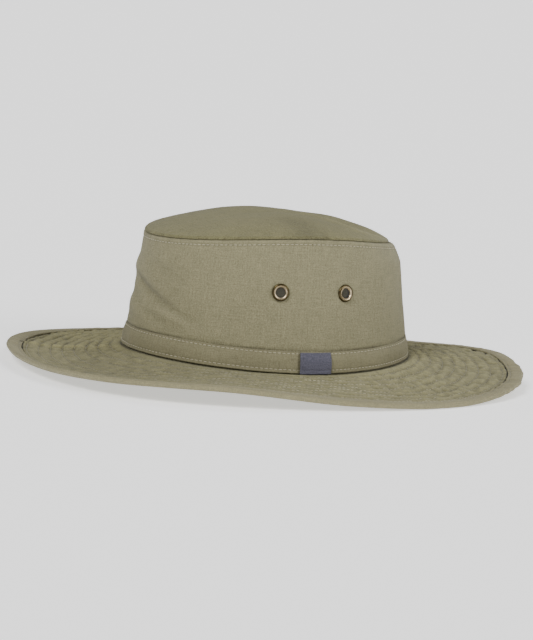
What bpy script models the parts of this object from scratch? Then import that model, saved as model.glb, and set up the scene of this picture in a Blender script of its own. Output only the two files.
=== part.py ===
"""Wide-brim cotton hat: domed tip, tapered crown wall, cloth band, brim with a folded hem.

Metres, +Z up. The front of the hat faces -Y and the wearer's left is +X. The origin is on the
surface that the hat rests on, below the middle of the brim. A turn is an angle in degrees about
the vertical, from 0 at the front through 90 at the wearer's left to 180 at the back.
"""
import math
from collections import namedtuple

import bmesh
import bpy
from mathutils import Vector

# Cloth
CLEARANCE = 0.0003
WALL_THICKNESS = 0.0018
TIP_THICKNESS = 0.0016
BAND_THICKNESS = 0.0014
BRIM_THICKNESS = 0.0024
TONGUE_THICKNESS = 0.0010
HEM_THICKNESS = 0.0010

# Crown: inside at the foot, outside at the tip seam, heights above the brim
HEAD_LENGTH = 0.2010
HEAD_WIDTH = 0.1670
TIP_LENGTH = 0.1838
TIP_WIDTH = 0.1547
CROWN_HEIGHT = 0.0836
DOME_RISE = 0.0136
SEAM_SWAY = 0.0036
FOOT_SWAY = 0.0040
SHOULDER_DEPTH = 0.0080
SHOULDER_START = 0.84
DENT_DEPTH = 0.0030
FOLD_RISE = 0.0030

# Brim: outside sizes, and how far its rim droops and its middle sags
RIM_LENGTH = 0.3608
RIM_WIDTH = 0.3200
RIM_POWER = 2.35
RIM_DROOP = 0.0120
BRIM_SAG = 0.0080
SAG_PLACE = 0.6
HEM_WIDTH = 0.0105

# Band and side label
BAND_HEIGHT = 0.0150
LABEL_WIDTH = 0.0220
LABEL_BACK = 0.0015
LABEL_MARGIN = 0.0003
LABEL_THICKNESS = 0.0010

# Eyelets: turned brass rings with a mesh disc held behind the lip
EYELET_SPACING = 0.0470
EYELET_HEIGHT = 0.605
EYELET_DIAMETER = 0.0120
EYELET_CROWN = 0.0012
WASHER_DIAMETER = 0.0110
WASHER_THICKNESS = 0.0006
LIP_DIAMETER = 0.0070
MESH_DIAMETER = 0.0074
MESH_THICKNESS = 0.0005
BARREL_WALL = 0.0005
EYELET_SEAT = 0.0005

# How finely round shapes are divided
TURN_STEPS = 64
EYELET_STEPS = 20

# What changes round the hat, every 30 degrees from the front: shares of SHOULDER_DEPTH,
# RIM_DROOP on the wearer's left and right, and BRIM_SAG
TurnRow = namedtuple("TurnRow", "turn shoulder rim_left rim_right sag")
TURN_ROWS = (
    TurnRow(0, 0.00, 0.47, 0.47, 1.00),
    TurnRow(30, 0.00, 0.27, 0.50, 0.60),
    TurnRow(60, 0.05, 0.15, 0.86, 0.10),
    TurnRow(90, 0.10, 0.78, 1.00, 0.00),
    TurnRow(120, 0.35, 1.00, 1.00, 0.35),
    TurnRow(150, 0.90, 0.44, 0.78, 0.35),
    TurnRow(180, 1.00, 0.19, 0.19, 0.00),
)

# Soft dents of the crown wall: place, half sizes, how much higher the dent lies at the end of its
# half turn, and depth as a share of DENT_DEPTH. A negative depth is a fullness beside a dent.
DentRow = namedtuple("DentRow", "turn height half_turn half_height slant depth")
DENT_ROWS = (
    DentRow(4, 0.52, 26, 0.13, -0.14, 1.0),
    DentRow(14, 0.72, 20, 0.09, -0.12, 0.4),
    DentRow(-14, 0.68, 20, 0.14, -0.05, -0.6),
    DentRow(-4, 0.36, 24, 0.11, -0.03, -0.4),
    DentRow(196, 0.45, 30, 0.20, 0.00, 0.4),
)

# Soft folds of the tip: both ends as a turn and a share of the way to the seam,
# half width as a share of TIP_WIDTH, rise as a share of FOLD_RISE
FoldRow = namedtuple("FoldRow", "turn_a share_a turn_b share_b half_width rise")
FOLD_ROWS = (
    FoldRow(222, 0.30, 163, 0.92, 0.11, 1.0),
    FoldRow(120, 0.45, 150, 0.85, 0.12, -0.4),
)

WALL_SHARES = (0.0, 0.18, 0.33, 0.48, 0.63, 0.78, 0.90, 0.96, 1.0)
TIP_SHARES = (0.97, 0.85, 0.66, 0.44, 0.20)
BRIM_SHARES = (0.0, 0.25, 0.5, 0.72)

hem_half = TONGUE_THICKNESS / 2 + CLEARANCE + HEM_THICKNESS
brim_level = RIM_DROOP + hem_half


def clear_scene():
    for item in list(bpy.data.objects):
        bpy.data.objects.remove(item, do_unlink=True)


def turn_value(turn, left, right):
    """Smooth value at a turn, from one column for each side of the hat."""
    step = 30
    count = 360 // step
    place = (turn % 360) / step
    start = int(place)
    part = place - start
    near = []
    for offset in (-1, 0, 1, 2):
        index = (start + offset) % count
        column = left if index * step <= 180 else right
        near.append(getattr(TURN_ROWS[min(index, count - index)], column))
    a, b, c, d = near
    return b + 0.5 * part * (c - a + part * (2 * a - 5 * b + 4 * c - d + part * (3 * (b - c) + d - a)))


def oval_radius(turn, length, width, power=2.0):
    across = abs(math.sin(math.radians(turn)) / (width / 2)) ** power
    along = abs(math.cos(math.radians(turn)) / (length / 2)) ** power
    return (across + along) ** (-1 / power)


def around(turn, radius, height):
    angle = math.radians(turn)
    return Vector((radius * math.sin(angle), -radius * math.cos(angle), height))


def dent_depth(turn, share):
    depth = 0.0
    for row in DENT_ROWS:
        aside = ((turn - row.turn + 180) % 360 - 180) / row.half_turn
        above = (share - row.height - row.slant * aside) / row.half_height
        near = max(0.0, 1 - aside ** 2 - above ** 2)
        depth += DENT_DEPTH * row.depth * near ** 2
    return depth


def foot_height(turn):
    """Middle of the brim's thickness where the crown stands on it."""
    return brim_level - FOOT_SWAY * (1 - math.cos(math.radians(2 * turn))) / 2


def seam_height(turn):
    return brim_level + BRIM_THICKNESS / 2 + CROWN_HEIGHT - SEAM_SWAY * math.cos(math.radians(2 * turn))


def wall_radius(turn, share):
    """Outer face of the crown wall, at a share of the way from the brim to the tip seam."""
    foot = oval_radius(turn, HEAD_LENGTH + 2 * WALL_THICKNESS, HEAD_WIDTH + 2 * WALL_THICKNESS)
    tip = oval_radius(turn, TIP_LENGTH, TIP_WIDTH)
    over = max(0.0, (share - SHOULDER_START) / (1 - SHOULDER_START))
    rounding = 1 - math.sqrt(1 - min(1.0, over) ** 2)
    shoulder = SHOULDER_DEPTH * turn_value(turn, "shoulder", "shoulder") * rounding
    return foot + (tip - foot) * share - shoulder - dent_depth(turn, share)


def wall_height(turn, share):
    foot = foot_height(turn) + BRIM_THICKNESS / 2 + CLEARANCE
    top = seam_height(turn) - CLEARANCE
    return foot + (top - foot) * share


def wall_point(turn, share, inward=0.0):
    return around(turn, wall_radius(turn, share) - inward, wall_height(turn, share))


def band_point(turn, height, outward):
    """A point beside the wall, at a height over the brim and a distance out from the wall."""
    foot = foot_height(turn) + BRIM_THICKNESS / 2 + CLEARANCE
    share = height / (seam_height(turn) - CLEARANCE - foot)
    return around(turn, wall_radius(turn, share) + outward, foot + height)


def fold_rise(spot):
    """Height that the folds add to the tip above a spot in plan."""
    rise = 0.0
    for row in FOLD_ROWS:
        start = around(row.turn_a, wall_radius(row.turn_a, 1) * row.share_a, 0).to_2d()
        end = around(row.turn_b, wall_radius(row.turn_b, 1) * row.share_b, 0).to_2d()
        run = end - start
        along = min(1.0, max(0.0, (spot.to_2d() - start).dot(run) / run.length_squared))
        away = (spot.to_2d() - start - run * along).length / (row.half_width * TIP_WIDTH)
        rise += FOLD_RISE * row.rise * max(0.0, 1 - away ** 2) ** 2
    return rise


def tip_point(turn, share, under=0.0):
    """Top face of the tip, at a share of the way from its middle to the seam."""
    middle = brim_level + BRIM_THICKNESS / 2 + CROWN_HEIGHT
    seam = seam_height(turn)
    dome = (DOME_RISE - TIP_THICKNESS) * (1 - share ** 2.6)
    spot = around(turn, wall_radius(turn, 1) * share, middle + (seam - middle) * share)
    spot.z += TIP_THICKNESS + dome + fold_rise(spot) * (1 - share ** 6) - under
    return spot


def brim_span(turn):
    """Foot of the band and rim of the brim in plan."""
    foot = around(turn, wall_radius(turn, 0) + CLEARANCE + BAND_THICKNESS, 0)
    rim = around(turn, oval_radius(turn, RIM_LENGTH, RIM_WIDTH, RIM_POWER), 0)
    return foot, rim


def brim_point(turn, share, lift):
    """A point over the brim's middle surface, at a share of the way from the band to the rim."""
    foot, rim = brim_span(turn)
    spot = foot + (rim - foot) * share
    drop = RIM_DROOP * min(1.0, turn_value(turn, "rim_left", "rim_right"))
    line = foot_height(turn) + (brim_level - drop - foot_height(turn)) * share
    bow = share * (1 - share) * (0.6 + 0.8 * share)
    full = SAG_PLACE * (1 - SAG_PLACE) * (0.6 + 0.8 * SAG_PLACE)
    spot.z = line - BRIM_SAG * turn_value(turn, "sag", "sag") * bow / full + lift
    return spot


def rim_point(turn, inward, lift):
    foot, rim = brim_span(turn)
    return brim_point(turn, 1 - inward / (rim - foot).length, lift)


def ring(point, *place):
    """One point function followed all the way round the hat."""
    return [point(360 * step / TURN_STEPS, *place) for step in range(TURN_STEPS)]


def loft(name, rings, material, closed):
    """Skin over stacked rings: each ring is extruded to the next. An open stack is capped."""
    skin = bmesh.new()
    number = skin.verts.layers.int.new("number")
    corners = [skin.verts.new(point) for point in rings[0]]
    for index, corner in enumerate(corners):
        corner[number] = index
    edges = [skin.edges.new((corners[i - 1], corners[i])) for i in range(len(corners))]
    ends = [edges]
    for points in rings[1:] + (rings[:1] if closed else []):
        grown = bmesh.ops.extrude_edge_only(skin, edges=edges)["geom"]
        edges = [item for item in grown if isinstance(item, bmesh.types.BMEdge)]
        added = [item for item in grown if isinstance(item, bmesh.types.BMVert)]
        edges = [edge for edge in edges if all(end in added for end in edge.verts)]
        for corner in added:
            corner.co = points[corner[number]]
    if closed:
        bmesh.ops.remove_doubles(skin, verts=skin.verts, dist=1e-6)
    else:
        ends.append(edges)
        for loop in ends:
            cap = bmesh.ops.contextual_create(skin, geom=loop)["faces"]
            if len(cap[0].verts) > 4:
                bmesh.ops.poke(skin, faces=cap)
    return finish(name, skin, material)


def finish(name, skin, material):
    bmesh.ops.recalc_face_normals(skin, faces=skin.faces)
    mesh = bpy.data.meshes.new(name)
    skin.to_mesh(mesh)
    skin.free()
    mesh.materials.append(material)
    mesh.shade_smooth()
    mesh.set_sharp_from_angle(angle=math.radians(40))
    piece = bpy.data.objects.new(name, mesh)
    bpy.context.collection.objects.link(piece)
    return piece


def make_material(name, colour, roughness, metallic=0.0):
    material = bpy.data.materials.new(name)
    material.use_nodes = True
    shader = material.node_tree.nodes["Principled BSDF"]
    shader.inputs["Base Color"].default_value = (*colour, 1)
    shader.inputs["Roughness"].default_value = roughness
    shader.inputs["Metallic"].default_value = metallic
    return material


def crown_top(material):
    rings = [ring(tip_point, share) for share in reversed(TIP_SHARES)]
    rings.append(ring(tip_point, 1.0, TIP_THICKNESS * 0.35))
    rings.append(ring(tip_point, 1.0, TIP_THICKNESS))
    rings += [ring(tip_point, share, TIP_THICKNESS) for share in TIP_SHARES]
    return loft("crown_top", rings, material, closed=False)


def crown_side(material, cutters):
    rings = [ring(wall_point, share) for share in WALL_SHARES]
    rings += [ring(wall_point, share, WALL_THICKNESS) for share in reversed(WALL_SHARES)]
    wall = loft("crown_side", rings, material, closed=True)
    for cutter in cutters:
        cut = wall.modifiers.new("eyelet_hole", "BOOLEAN")
        cut.operation = "DIFFERENCE"
        cut.object = cutter
    return wall


def hat_band(material):
    inner = CLEARANCE
    outer = CLEARANCE + BAND_THICKNESS
    soft = BAND_THICKNESS / 3
    places = (
        (0.0, inner), (0.0, outer - soft), (soft, outer),
        (BAND_HEIGHT - soft, outer), (BAND_HEIGHT, outer - soft), (BAND_HEIGHT, inner),
    )
    return loft("hat_band", [ring(band_point, *place) for place in places], material, closed=True)


def brim(material):
    half = BRIM_THICKNESS / 2
    tongue = TONGUE_THICKNESS / 2
    step = HEM_WIDTH + CLEARANCE
    end = HEM_THICKNESS + CLEARANCE

    def inner_point(turn, lift):
        radius = wall_radius(turn, 0) - WALL_THICKNESS
        return around(turn, radius, foot_height(turn) + lift)

    top = [ring(inner_point, half)]
    top += [ring(brim_point, share, half) for share in BRIM_SHARES]
    top += [ring(rim_point, step, half), ring(rim_point, step, tongue), ring(rim_point, end, tongue)]
    under = [ring(inner_point, -half)]
    under += [ring(brim_point, share, -half) for share in BRIM_SHARES]
    under += [ring(rim_point, step, -half), ring(rim_point, step, -tongue), ring(rim_point, end, -tongue)]
    return loft("brim", top + under[::-1], material, closed=True)


def brim_binding(material):
    inner = TONGUE_THICKNESS / 2 + CLEARANCE
    soft = hem_half * 0.6
    places = (
        (HEM_WIDTH, hem_half), (soft, hem_half), (0.0, hem_half - soft),
        (0.0, soft - hem_half), (soft, -hem_half), (HEM_WIDTH, -hem_half),
        (HEM_WIDTH, -inner), (HEM_THICKNESS, -inner), (HEM_THICKNESS, inner), (HEM_WIDTH, inner),
    )
    return loft("brim_binding", [ring(rim_point, *place) for place in places], material, closed=True)


def side_label(material):
    """Plain woven tab over the band on the wearer's left."""
    inner = CLEARANCE + BAND_THICKNESS + CLEARANCE
    outer = inner + LABEL_THICKNESS
    radius = oval_radius(90, HEAD_LENGTH, HEAD_WIDTH)
    middle = 90 + math.degrees(LABEL_BACK / radius)
    reach = math.degrees(LABEL_WIDTH / 2 / radius)
    low, high = LABEL_MARGIN, BAND_HEIGHT - LABEL_MARGIN
    steps = 6
    rings = []
    for index in range(steps + 1):
        turn = middle - reach + 2 * reach * index / steps
        corners = ((low, inner), (low, outer), (high, outer), (high, inner))
        rings.append([band_point(turn, *corner) for corner in corners])
    return loft("side_label", rings, material, closed=False)


def eyelet_places():
    """Name, seat and outward direction of each eyelet, two on each side of the crown."""
    places = []
    for side, name in ((1, "left"), (-1, "right")):
        for along, end in ((-1, "front"), (1, "rear")):
            radius = wall_radius(90, EYELET_HEIGHT)
            aside = math.degrees(math.asin(EYELET_SPACING / 2 / radius))
            turn = side * (90 + along * aside)
            seat = wall_point(turn, EYELET_HEIGHT)
            across = wall_point(turn + 1, EYELET_HEIGHT) - wall_point(turn - 1, EYELET_HEIGHT)
            upward = wall_point(turn, EYELET_HEIGHT + 0.02) - wall_point(turn, EYELET_HEIGHT - 0.02)
            places.append((name + "_" + end, seat, across.cross(upward).normalized()))
    return places


def set_on_wall(piece, seat, outward):
    piece.location = seat
    piece.rotation_euler = outward.to_track_quat("Z", "Y").to_euler()


def eyelet_cutter(name, seat, outward):
    radius = MESH_DIAMETER / 2 + 2 * CLEARANCE + BARREL_WALL
    skin = bmesh.new()
    bmesh.ops.create_cone(skin, cap_ends=True, segments=EYELET_STEPS, radius1=radius, radius2=radius,
                          depth=6 * WALL_THICKNESS)
    cutter = finish("cutter_" + name, skin, None)
    cutter.hide_render = True
    cutter.display_type = "WIRE"
    set_on_wall(cutter, seat, outward)
    return cutter


def eyelet(name, seat, outward, material):
    """Ring turned in one: a domed flange outside, a barrel through the wall, a washer inside."""
    lip = LIP_DIAMETER / 2
    bore = MESH_DIAMETER / 2 + CLEARANCE
    barrel = bore + BARREL_WALL
    flange = EYELET_DIAMETER / 2
    seat_out = CLEARANCE
    seat_in = -WALL_THICKNESS - EYELET_SEAT
    crest = seat_out + EYELET_CROWN
    profile = (
        (barrel, seat_out), (flange, seat_out), (flange, seat_out + EYELET_CROWN * 0.3),
        (flange - EYELET_CROWN, crest), (lip + EYELET_CROWN, crest), (lip, crest - EYELET_CROWN * 0.6),
        (lip, seat_out), (bore, seat_out), (bore, seat_in - WASHER_THICKNESS),
        (WASHER_DIAMETER / 2, seat_in - WASHER_THICKNESS), (WASHER_DIAMETER / 2, seat_in),
        (barrel, seat_in),
    )
    skin = bmesh.new()
    corners = [skin.verts.new((radius, 0, height)) for radius, height in profile]
    outline = [skin.edges.new((corners[i - 1], corners[i])) for i in range(len(corners))]
    bmesh.ops.spin(skin, geom=corners + outline, cent=(0, 0, 0), axis=(0, 0, 1), angle=2 * math.pi,
                   steps=EYELET_STEPS, use_merge=True)
    bmesh.ops.remove_doubles(skin, verts=skin.verts, dist=1e-6)
    piece = finish("eyelet_" + name, skin, material)
    set_on_wall(piece, seat, outward)
    return piece


def vent_mesh(name, seat, outward, material):
    skin = bmesh.new()
    bmesh.ops.create_cone(skin, cap_ends=True, segments=EYELET_STEPS, radius1=MESH_DIAMETER / 2,
                          radius2=MESH_DIAMETER / 2, depth=MESH_THICKNESS)
    piece = finish("vent_mesh_" + name, skin, material)
    set_on_wall(piece, seat - outward * (CLEARANCE + MESH_THICKNESS) / 2, outward)
    return piece


def build():
    clear_scene()
    khaki = make_material("khaki_cotton", (0.270, 0.250, 0.160), 0.9)
    band_cloth = make_material("band_cotton", (0.250, 0.230, 0.148), 0.9)
    label_cloth = make_material("woven_tab", (0.085, 0.090, 0.130), 0.85)
    brass = make_material("antique_brass", (0.42, 0.33, 0.20), 0.35, 1.0)
    dark_mesh = make_material("dark_mesh", (0.045, 0.045, 0.045), 0.7)

    hat = bpy.data.objects.new("hat", None)
    bpy.context.collection.objects.link(hat)
    places = eyelet_places()
    cutters = [eyelet_cutter(*place) for place in places]
    pieces = [crown_top(khaki), crown_side(khaki, cutters), hat_band(band_cloth)]
    pieces += [brim(khaki), brim_binding(khaki), side_label(label_cloth)]
    for place in places:
        pieces.append(eyelet(*place, brass))
        pieces.append(vent_mesh(*place, dark_mesh))
    for piece in pieces + cutters:
        piece.parent = hat


build()
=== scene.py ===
"""A ranger hat of khaki cotton with a quilted brim, dressed for its picture.

Metres, +Z up. The front of the hat faces -Y and the wearer's left is +X. A turn is an angle in
degrees about the vertical, from 0 at the front through 90 at the wearer's left to 180 at the back.
"""
import math
from collections import namedtuple

import bpy
import numpy as np
from mathutils import Matrix, Vector, noise


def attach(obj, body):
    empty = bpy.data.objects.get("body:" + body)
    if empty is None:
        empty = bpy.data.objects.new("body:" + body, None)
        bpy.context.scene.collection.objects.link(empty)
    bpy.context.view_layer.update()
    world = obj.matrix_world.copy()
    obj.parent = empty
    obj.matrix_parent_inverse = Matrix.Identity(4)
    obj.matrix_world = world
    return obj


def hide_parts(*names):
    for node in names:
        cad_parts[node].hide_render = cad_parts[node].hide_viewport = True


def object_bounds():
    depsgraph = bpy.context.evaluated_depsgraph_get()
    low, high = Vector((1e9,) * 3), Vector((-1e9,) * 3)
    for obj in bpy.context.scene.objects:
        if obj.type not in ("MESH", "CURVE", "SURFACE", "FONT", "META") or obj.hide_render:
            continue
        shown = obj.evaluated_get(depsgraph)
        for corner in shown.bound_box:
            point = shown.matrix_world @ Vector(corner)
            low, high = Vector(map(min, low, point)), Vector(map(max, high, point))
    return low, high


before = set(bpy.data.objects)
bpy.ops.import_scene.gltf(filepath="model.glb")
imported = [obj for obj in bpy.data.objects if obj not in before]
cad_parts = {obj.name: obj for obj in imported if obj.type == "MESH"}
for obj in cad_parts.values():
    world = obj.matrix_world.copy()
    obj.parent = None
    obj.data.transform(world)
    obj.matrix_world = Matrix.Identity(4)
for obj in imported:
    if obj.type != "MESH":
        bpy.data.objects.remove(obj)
cad_box = [list(corner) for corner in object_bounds()]

# The hat's own sizes, as its solids have them
CLEARANCE = 0.0003
WALL_THICKNESS = 0.0018
TIP_THICKNESS = 0.0016
BAND_THICKNESS = 0.0014
BRIM_THICKNESS = 0.0024
TONGUE_THICKNESS = 0.0010
HEM_THICKNESS = 0.0010
HEAD_LENGTH = 0.2010
HEAD_WIDTH = 0.1670
TIP_LENGTH = 0.1838
TIP_WIDTH = 0.1547
CROWN_HEIGHT = 0.0836
DOME_RISE = 0.0136
DOME_POWER = 2.6
SEAM_SWAY = 0.0036
FOOT_SWAY = 0.0040
SHOULDER_DEPTH = 0.0080
SHOULDER_START = 0.84
SHOULDER_EDGE = 0.45
DENT_DEPTH = 0.0030
FOLD_RISE = 0.0030
RIM_LENGTH = 0.3608
RIM_WIDTH = 0.3200
RIM_POWER = 2.35
RIM_DROOP = 0.0120
BRIM_SAG = 0.0080
SAG_PLACE = 0.6
HEM_WIDTH = 0.0105
BAND_HEIGHT = 0.0150
LABEL_WIDTH = 0.0220
LABEL_BACK = 0.0015
LABEL_MARGIN = 0.0003
LABEL_THICKNESS = 0.0010
EYELET_SPACING = 0.0470
EYELET_HEIGHT = 0.605
EYELET_DIAMETER = 0.0120
EYELET_CROWN = 0.0012
WASHER_DIAMETER = 0.0110
WASHER_THICKNESS = 0.0006
LIP_DIAMETER = 0.0070
MESH_DIAMETER = 0.0074
MESH_THICKNESS = 0.0005
BARREL_WALL = 0.0005
EYELET_SEAT = 0.0005

TurnRow = namedtuple("TurnRow", "turn shoulder rim_left rim_right sag")
TURN_ROWS = (
    TurnRow(0, 0.00, 0.47, 0.47, 1.00),
    TurnRow(30, 0.00, 0.27, 0.50, 0.60),
    TurnRow(60, 0.05, 0.15, 0.86, 0.10),
    TurnRow(90, 0.10, 0.78, 1.00, 0.00),
    TurnRow(120, 0.35, 1.00, 1.00, 0.35),
    TurnRow(150, 0.90, 0.44, 0.78, 0.35),
    TurnRow(180, 1.00, 0.19, 0.19, 0.00),
)
DentRow = namedtuple("DentRow", "turn height half_turn half_height slant depth")
DENT_ROWS = (
    DentRow(4, 0.52, 26, 0.13, -0.14, 1.0),
    DentRow(14, 0.72, 20, 0.09, -0.12, 0.4),
    DentRow(-14, 0.68, 20, 0.14, -0.05, -0.6),
    DentRow(-4, 0.36, 24, 0.11, -0.03, -0.4),
    DentRow(196, 0.45, 30, 0.20, 0.00, 0.4),
)
FoldRow = namedtuple("FoldRow", "turn_a share_a turn_b share_b half_width rise")
FOLD_ROWS = (
    FoldRow(222, 0.30, 163, 0.92, 0.11, 1.0),
    FoldRow(120, 0.45, 150, 0.85, 0.12, -0.4),
)

# Sewing: rows of stitches round the brim, and single rows on the wall, the band and the hem
BRIM_ROWS = 8
FIRST_ROW = 0.115
ROW_STEP = 0.12
GROOVE_WIDTH = 0.0009
GROOVE_DEPTH = 0.00028
QUILT_RISE = 0.00110
PUCKER_RISE = 0.00062
PUCKER_WAVES = 118
PUCKER_SLANT = 2.5
SEAM_ROW = 0.0033
BAND_TOP_ROW = 0.0013
BAND_FOOT_ROW = 0.0028
BAND_LIFT = 0.0003
HEM_ROW = 0.0017
STITCH_PITCH = 0.0032
STITCH_LENGTH = 0.0024
STITCH_WIDTH = 0.00050
STITCH_PROUD = 0.30 * STITCH_WIDTH

# How loose the brim's cloth lies between its rows of stitches, every 30 degrees from the front
QUILT_STRENGTH = (0.90, 0.60, 0.34, 0.46, 0.52, 0.42, 0.38, 0.38, 0.42, 0.60, 1.05, 1.25)
PUCKER_STRENGTH = (0.60, 0.34, 0.34, 0.44, 0.78, 1.00, 0.92, 0.80, 0.60, 0.60, 1.00, 1.10)

# How open the brim's thread lies on the cloth, every 30 degrees from the front
THREAD_SHOWS = (0.15, 0.18, 0.50, 1.00, 0.45, 0.05, 0.05, 0.15, 0.20, 0.20, 0.15, 0.15)

# The crest where the brim turns down in front: its turn at shares of the way out to the hem
CREST_SHARES = (0.05, 0.15, 0.33, 0.45, 0.85)
CREST_TURNS = (356, 348, 344, 340, 336)
CREST_RISE = 0.0012
CREST_WIDTH = 0.0015

# Degrees past the crest where the cloth falls calm, and where it is loose again
CALM_STARTS = (-2.0, 9.0)
CALM_ENDS = (90.0, 30.0)

# The rim is turned up a little more at the wearer's left of the back
CORNER_TURN = 172
CORNER_REACH = 10
CORNER_LIFT = 0.0016

# Soft creases: both ends as a turn and a share of the way out, half width and rise
CreaseRow = namedtuple("CreaseRow", "turn_a share_a turn_b share_b half_width rise")
TIP_CREASES = (
    CreaseRow(176, 0.27, 145, 0.55, 0.0045, 0.0013),
    CreaseRow(145, 0.55, 131, 0.82, 0.0045, 0.0017),
    CreaseRow(131, 0.82, 149, 0.95, 0.0045, 0.0017),
    CreaseRow(84, 0.62, 88, 1.00, 0.0125, -0.0006),
)
BRIM_CREASES = (
    CreaseRow(326, 0.10, 325, 0.90, 0.0160, -0.0010),
    CreaseRow(96, 0.42, 118, 0.62, 0.0050, -0.0006),
)

# Slanting creases of the wall in front: the share of its height at each turn, and how sharp
SlantRow = namedtuple("SlantRow", "turns shares strength")
WALL_CREASES = (
    SlantRow((-6, 20, 34), (0.615, 0.430, 0.335), 1.0),
    SlantRow((-6, 12, 24), (0.475, 0.334, 0.260), 0.6),
)
WALL_CREASE_DEPTH = 0.0010

# Seam of wall and tip, dimples round the eyelets, and the wall easing out to the band
ALLOWANCE_RISE = 0.00030
ALLOWANCE_STEP = 0.0006
SEAM_ROLL = 0.00090
SEAM_ROLL_HEIGHT = 0.0011
TIP_ROLL = TIP_THICKNESS - 0.0001
DIMPLE_DEPTH = 0.00032
DIMPLE_REACH = 0.0085
EASE_RISE = 0.00055
EASE_REACH = 0.025

# Soft forms of the hem, the band and the label
HEM_RIPPLE = 0.00030
HEM_SOFTNESS = 0.00020
HEM_BELLY = 0.00040
HEM_EDGE_RISE = 0.00030
HEM_WOBBLE = 0.00040
CRIMP_TURN = 158
CRIMP_FADE = (50, 15)
CRIMP_RIPPLE = 0.00035
CRIMP_WOBBLE = 0.00060
BAND_BELLY = 0.00025
BAND_TOP_TUCK = 0.00065
BAND_GROOVE = 0.00026
LABEL_BELLY = 0.00035
LABEL_FRONT_CURL = 0.00045
LABEL_BACK_CURL = 0.00020

# Uneven cloth: how high its lumps are, how wide, and which noise they come from
Lumps = namedtuple("Lumps", "rise size seed")
WALL_GATHER = Lumps(0.00040, 0.0042, 3)
WALL_WAVES = Lumps(0.00045, 0.034, 4)
WALL_RIPPLES = Lumps(0.00016, 0.013, 5)
TIP_GATHER = Lumps(0.00036, 0.0040, 6)
TIP_WAVES = Lumps(0.00060, 0.036, 7)
TIP_RIPPLES = Lumps(0.00018, 0.012, 8)
PUCKER_DRIFT = Lumps(2.6, 0.030, 1)
PUCKER_PATCHES = Lumps(1.3, 0.042, 2)
BRIM_GATHER = Lumps(0.00026, 0.0050, 9)
BRIM_WAVES = Lumps(0.00040, 0.038, 10)
BRIM_FROWN = Lumps(0.00060, 0.0062, 15)
BRIM_CRINKLE = Lumps(0.00042, 0.0042, 16)
HEM_CRIMP = Lumps(1.0, 0.0048, 11)
HEM_WAVES = Lumps(1.0, 0.022, 12)
BAND_WAVES = Lumps(0.00040, 0.020, 13)
BAND_RIPPLES = Lumps(0.00014, 0.007, 14)
THREAD_PATCHES = Lumps(1.2, 0.035, 17)

# Lines in the cloth: how deep they are, or for painted shade how dark, how far from an edge or
# crease, and how wide
Line = namedtuple("Line", "strength place width")
SEAM_GROOVE = Line(0.00030, SEAM_ROW, GROOVE_WIDTH)
HEM_GROOVE = Line(1.0, HEM_ROW, 0.0008)
HEM_GROOVE_DEPTH = 0.00035
WALL_CREASE_GROOVE = Line(1.0, 0.0, 0.0028)
WALL_CREASE_RIDGE = Line(0.6, 0.0052, 0.0032)
INNER_COLLAR = Line(0.00070, 0.0052, 0.0018)
OUTER_COLLAR = Line(0.00042, 0.0105, 0.0020)
BRIM_FOOT_TUCK = Line(0.0003, 0.0, 0.0010)
BRIM_EDGE_TUCK = Line(0.0009, 0.0, 0.0009)
# Painted shade lines: darker colour painted where shadow falls at the brim's foot and hem edge,
# above and under the band, along the tip's seam, at the band's top edge and beside the label
BRIM_FOOT_SHADE = Line(2.6, 0.0, 0.0007)
BRIM_EDGE_SHADE = Line(6.0, 0.0, 0.0008)
WALL_FOOT_SHADE = Line(3.6, 0.0003, 0.0006)
UNDER_BAND_SHADE = 4.0
TIP_EDGE_SHADE = Line(1.2, 0.0, 0.0009)
BAND_TOP_SHADE = Line(2.0, 0.0, 0.0004)
BESIDE_LABEL_SHADE = Line(1.6, 0.0004, 0.0007)

# A rise that paints cloth lighter by one step of painted shading; a sink paints it darker
WALL_SHADING_STEP = 0.00040
BRIM_SHADING_STEP = 0.00050
BAND_SHADING_STEP = 0.00090
TIP_CREST_HIGHLIGHT_STEP = 0.0013
TIP_HOLLOW_SHADE_STEP = 0.00050

# Weave, wire and brass
CLOTH_PITCH = 0.00046
BAND_PITCH = 0.00050
LABEL_RIB = 0.00062
LABEL_FLOAT = 0.00055
WIRE_CELLS = 15
WIRE_WIDTH = 0.00027
WIRE_WAVE = 0.00007
EYELET_CREST_RADIUS = 0.0047
EYELET_TURNS = 72

# Studio
FLOOR_RADIUS = 260
NEAR_FLOOR = 8
SUN_DISTANCE = 3
SunRow = namedtuple("SunRow", "name azimuth elevation strength spread")
SUNS = (
    SunRow("front_light", 35, 45, 2.48, 24),
    SunRow("side_light", 124, 28, 1.66, 26),
    SunRow("far_light", 208, 46, 0.70, 30),
)

# How finely the cloth is divided
BRIM_TURNS = 960
WALL_TURNS = 720
TIP_TURNS = 512

hem_half = TONGUE_THICKNESS / 2 + CLEARANCE + HEM_THICKNESS
brim_level = RIM_DROOP + hem_half


# Form of the hat

def knots(left, right):
    """A column of the turn table for all twelve places round the hat."""
    count = 12
    picked = []
    for index in range(count):
        row = TURN_ROWS[min(index, count - index)]
        picked.append(getattr(row, left if index <= count // 2 else right))
    return np.array(picked)


SHOULDER_KNOTS = knots("shoulder", "shoulder")
RIM_KNOTS = knots("rim_left", "rim_right")
SAG_KNOTS = knots("sag", "sag")


def round_value(turn, values):
    """Smooth value at each turn, from values every 30 degrees."""
    values = np.asarray(values)
    place = (turn % 360) / 30
    start = np.floor(place).astype(int)
    part = place - start
    a, b, c, d = (values[(start + offset) % 12] for offset in (-1, 0, 1, 2))
    cubic = 3 * (b - c) + d - a
    return b + 0.5 * part * (c - a + part * (2 * a - 5 * b + 4 * c - d + part * cubic))


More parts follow.
